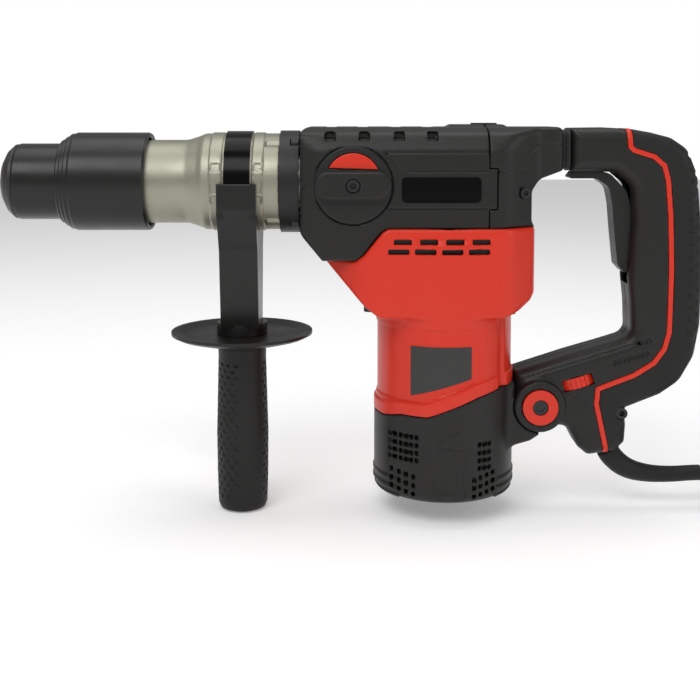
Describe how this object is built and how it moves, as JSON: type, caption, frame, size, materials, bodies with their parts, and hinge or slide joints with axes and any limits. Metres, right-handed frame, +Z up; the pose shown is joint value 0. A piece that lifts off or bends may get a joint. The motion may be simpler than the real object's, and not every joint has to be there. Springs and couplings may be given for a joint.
{
  "type": "rotary hammer",
  "caption": "Corded rotary hammer with an upright motor, a clamped side handle, a sprung D-handle, a mode selector and a keyless bit holder.",
  "frame": {"origin": "on the floor under the middle of the tool's bounding box, cord left out", "axes": "+Z up, X along the drill axis with the bit holder towards -X and the D-handle towards +X, Y across the tool"},
  "size_m": [0.6854, 0.146, 0.2704],
  "materials": {
    "black_plastic": "fine textured",
    "smooth_black": "satin",
    "red_plastic": "satin",
    "soft_rubber": "matte",
    "cast_alu": "blasted",
    "steel": "ground",
    "dark_steel": "blackened",
    "laminations": "plain",
    "copper": "plain",
    "brass": "plain",
    "plate": "printed film",
    "cord_rubber": "matte"
  },
  "bodies": {
    "housing": {"gear_case": "black_plastic", "gear_barrel": "cast_alu", "front_ring": "black_plastic", "housing_screws": "steel", "rear_cover": "black_plastic", "grease_cap": "black_plastic", "side_badge": "smooth_black", "gear_bearings": "steel", "motor_housing": "red_plastic", "motor_screws": "dark_steel", "rating_plate": "plate", "stator": "laminations", "motor_bearings": "steel", "brush_holders": "brass", "carbon_brushes": "laminations", "end_cap": "black_plastic", "pivot_pin": "steel", "spindle_bearing": "steel", "bellows": "soft_rubber", "damper_spring": "steel"},
    "spindle": {"spindle": "steel", "dust_cap": "soft_rubber", "chuck_front_sleeve": "smooth_black", "locking_rollers": "steel", "spindle_gear": "steel", "sleeve_spring": "steel"},
    "lock_sleeve": {"lock_sleeve": "smooth_black"},
    "selector": {"selector_knob": "black_plastic", "selector_insert": "red_plastic", "selector_screw": "steel"},
    "crank": {"crank_gear": "steel"},
    "intermediate": {"intermediate_gear": "steel"},
    "piston": {"piston": "cast_alu", "connecting_rod": "steel"},
    "striker": {"striker": "steel"},
    "impact_bolt": {"impact_bolt": "steel"},
    "armature": {"armature": "laminations", "motor_shaft": "steel", "commutator": "copper", "fan": "black_plastic"},
    "side_clamp": {"handle_stem": "black_plastic", "clamp_band": "dark_steel"},
    "side_grip": {"aux_grip": "soft_rubber", "guard_disc": "black_plastic", "clamp_bolt": "steel"},
    "handle": {"handle_left": "black_plastic", "handle_right": "black_plastic", "soft_grip": "soft_rubber", "red_trim": "red_plastic", "switch_module": "black_plastic", "pivot_caps": "red_plastic", "handle_screws": "steel", "cord_boot": "cord_rubber", "cord_lead": "cord_rubber", "cord_coil": "cord_rubber", "cord_tail": "cord_rubber", "plug": "cord_rubber", "cord_tie": "black_plastic"},
    "trigger": {"trigger": "black_plastic"},
    "speed_dial": {"speed_dial": "red_plastic"}
  },
  "joints": [
    {"name": "armature_spin", "type": "hinge", "parent": "housing", "child": "armature", "pos_m": [0.0646, 0, 0.12], "axis": [0, 0, 1], "continuous": true},
    {"name": "crank_spin", "type": "hinge", "parent": "housing", "child": "crank", "pos_m": [0.0916, 0, 0.207], "axis": [0, 0, 1], "continuous": true},
    {"name": "intermediate_spin", "type": "hinge", "parent": "housing", "child": "intermediate", "pos_m": [0.0376, 0, 0.195], "axis": [0, 0, 1], "continuous": true},
    {"name": "spindle_spin", "type": "hinge", "parent": "housing", "child": "spindle", "pos_m": [-0.1, 0, 0.23], "axis": [1, 0, 0], "continuous": true},
    {"name": "lock_sleeve_slide", "type": "slide", "parent": "spindle", "child": "lock_sleeve", "axis": [1, 0, 0], "range_m": [0, 0.01], "stiffness_N_per_m": 900, "springref_m": -0.006, "deforming": ["sleeve_spring"]},
    {"name": "piston_slide", "type": "slide", "parent": "housing", "child": "piston", "axis": [-1, 0, 0], "range_m": [0, 0.022]},
    {"name": "striker_slide", "type": "slide", "parent": "spindle", "child": "striker", "axis": [-1, 0, 0], "range_m": [0, 0.02]},
    {"name": "impact_bolt_slide", "type": "slide", "parent": "spindle", "child": "impact_bolt", "axis": [-1, 0, 0], "range_m": [0, 0.006]},
    {"name": "selector_turn", "type": "hinge", "parent": "housing", "child": "selector", "pos_m": [0.0014, -0.045, 0.2297], "axis": [0, 1, 0], "range_deg": [-90, 90]},
    {"name": "side_handle_swivel", "type": "hinge", "parent": "housing", "child": "side_clamp", "pos_m": [-0.076, 0, 0.23], "axis": [1, 0, 0], "continuous": true},
    {"name": "side_grip_turn", "type": "hinge", "parent": "side_clamp", "child": "side_grip", "pos_m": [-0.076, 0, 0.06], "axis": [0, 0, 1], "range_deg": [0, 720]},
    {"name": "handle_damper", "type": "hinge", "parent": "housing", "child": "handle", "pos_m": [0.1291, 0, 0.077], "axis": [0, 1, 0], "range_deg": [-1.2, 0], "stiffness_Nm_per_rad": 260, "springref_deg": 1.72, "deforming": ["bellows", "damper_spring"]},
    {"name": "trigger_press", "type": "hinge", "parent": "handle", "child": "trigger", "pos_m": [0.189, 0, 0.172], "axis": [0, 1, 0], "range_deg": [0, 5], "stiffness_Nm_per_rad": 3, "springref_deg": -3.44},
    {"name": "speed_dial_turn", "type": "hinge", "parent": "handle", "child": "speed_dial", "pos_m": [0.156, -0.0024, 0.0926], "axis": [-0.2857, 0, 0.9583], "range_deg": [0, 270]}
  ],
  "couplings": [
    {"joint": "crank_spin", "follows": "armature_spin", "ratio": -0.25},
    {"joint": "intermediate_spin", "follows": "armature_spin", "ratio": -0.25},
    {"joint": "spindle_spin", "follows": "armature_spin", "ratio": 0.089286}
  ]
}
